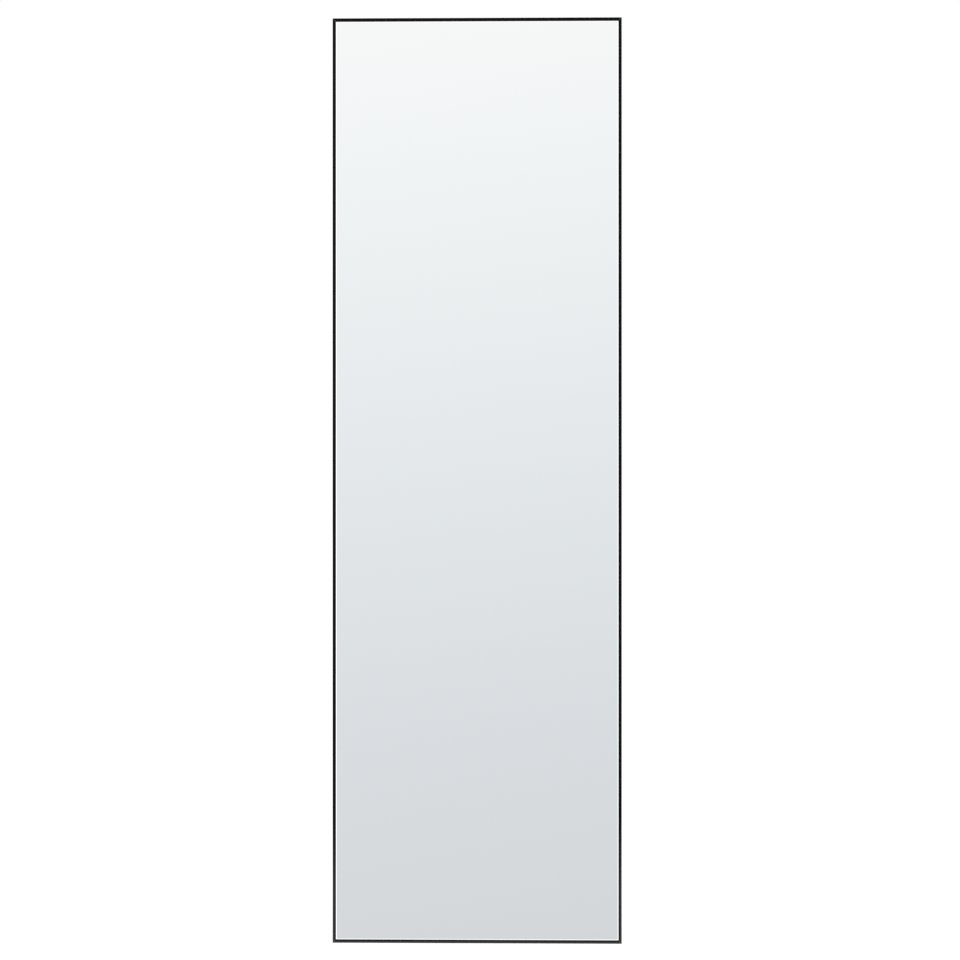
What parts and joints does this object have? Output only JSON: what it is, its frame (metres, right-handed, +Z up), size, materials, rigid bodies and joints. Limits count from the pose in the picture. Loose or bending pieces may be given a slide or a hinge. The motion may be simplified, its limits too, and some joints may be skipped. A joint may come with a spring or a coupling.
{
  "type": "wall mirror",
  "caption": "Tall narrow wall mirror in a thin mitred black metal frame, with swinging hanging rings on the back for upright or sideways use.",
  "frame": {"origin": "on the wall plane, where the rear faces of the wall pads stand, at the middle of the mirror's back", "axes": "+Z up along the mirror's height, +X to the right seen from the front, +Y from the glass towards the wall"},
  "size_m": [0.5, 0.031, 1.6],
  "materials": {
    "frame_black": "satin",
    "mirror": "polished",
    "film": "satin",
    "card": "matte",
    "board": "matte",
    "tape": "matte",
    "zinc_steel": "satin",
    "dark_steel": "satin",
    "spring_steel": "satin",
    "wire": "polished",
    "rubber": "matte"
  },
  "bodies": {
    "mirror": {"top_rail": "frame_black", "bottom_rail": "frame_black", "left_stile": "frame_black", "right_stile": "frame_black", "mirror_glass": "mirror", "safety_film": "film", "card_sheet": "card", "back_board": "board", "glazing_tape": "tape", "corner_plate_top_left": "zinc_steel", "corner_plate_top_right": "zinc_steel", "corner_plate_bottom_left": "zinc_steel", "corner_plate_bottom_right": "zinc_steel", "corner_backer_top_left": "zinc_steel", "corner_backer_top_right": "zinc_steel", "corner_backer_bottom_left": "zinc_steel", "corner_backer_bottom_right": "zinc_steel", "corner_screws_top_left": "dark_steel", "corner_screws_top_right": "dark_steel", "corner_screws_bottom_left": "dark_steel", "corner_screws_bottom_right": "dark_steel", "spring_clips_left": "spring_steel", "spring_clips_right": "spring_steel", "spring_clips_top": "spring_steel", "spring_clips_bottom": "spring_steel", "hanger_strap_left": "zinc_steel", "hanger_strap_right": "zinc_steel", "hanger_strap_top": "zinc_steel", "hanger_strap_bottom": "zinc_steel", "hanger_nut_plate_left": "zinc_steel", "hanger_nut_plate_right": "zinc_steel", "hanger_nut_plate_top": "zinc_steel", "hanger_nut_plate_bottom": "zinc_steel", "hanger_screws_left": "zinc_steel", "hanger_screws_right": "zinc_steel", "hanger_screws_top": "zinc_steel", "hanger_screws_bottom": "zinc_steel", "wall_pad_top_left": "rubber", "wall_pad_top_right": "rubber", "wall_pad_bottom_left": "rubber", "wall_pad_bottom_right": "rubber"},
    "ring_left": {"hanger_ring_left": "wire"},
    "ring_right": {"hanger_ring_right": "wire"},
    "ring_top": {"hanger_ring_top": "wire"},
    "ring_bottom": {"hanger_ring_bottom": "wire"}
  },
  "joints": [
    {"name": "ring_swing_left", "type": "hinge", "parent": "mirror", "child": "ring_left", "pos_m": [-0.24, -0.00347, 0.6], "axis": [1, 0, 0], "range_deg": [0, 180]},
    {"name": "ring_swing_right", "type": "hinge", "parent": "mirror", "child": "ring_right", "pos_m": [0.24, -0.00347, 0.6], "axis": [1, 0, 0], "range_deg": [0, 180]},
    {"name": "ring_swing_top", "type": "hinge", "parent": "mirror", "child": "ring_top", "pos_m": [-0.15, -0.00347, 0.79], "axis": [0, 0, 1], "range_deg": [0, 180]},
    {"name": "ring_swing_bottom", "type": "hinge", "parent": "mirror", "child": "ring_bottom", "pos_m": [-0.15, -0.00347, -0.79], "axis": [0, 0, 1], "range_deg": [0, 180]}
  ]
}
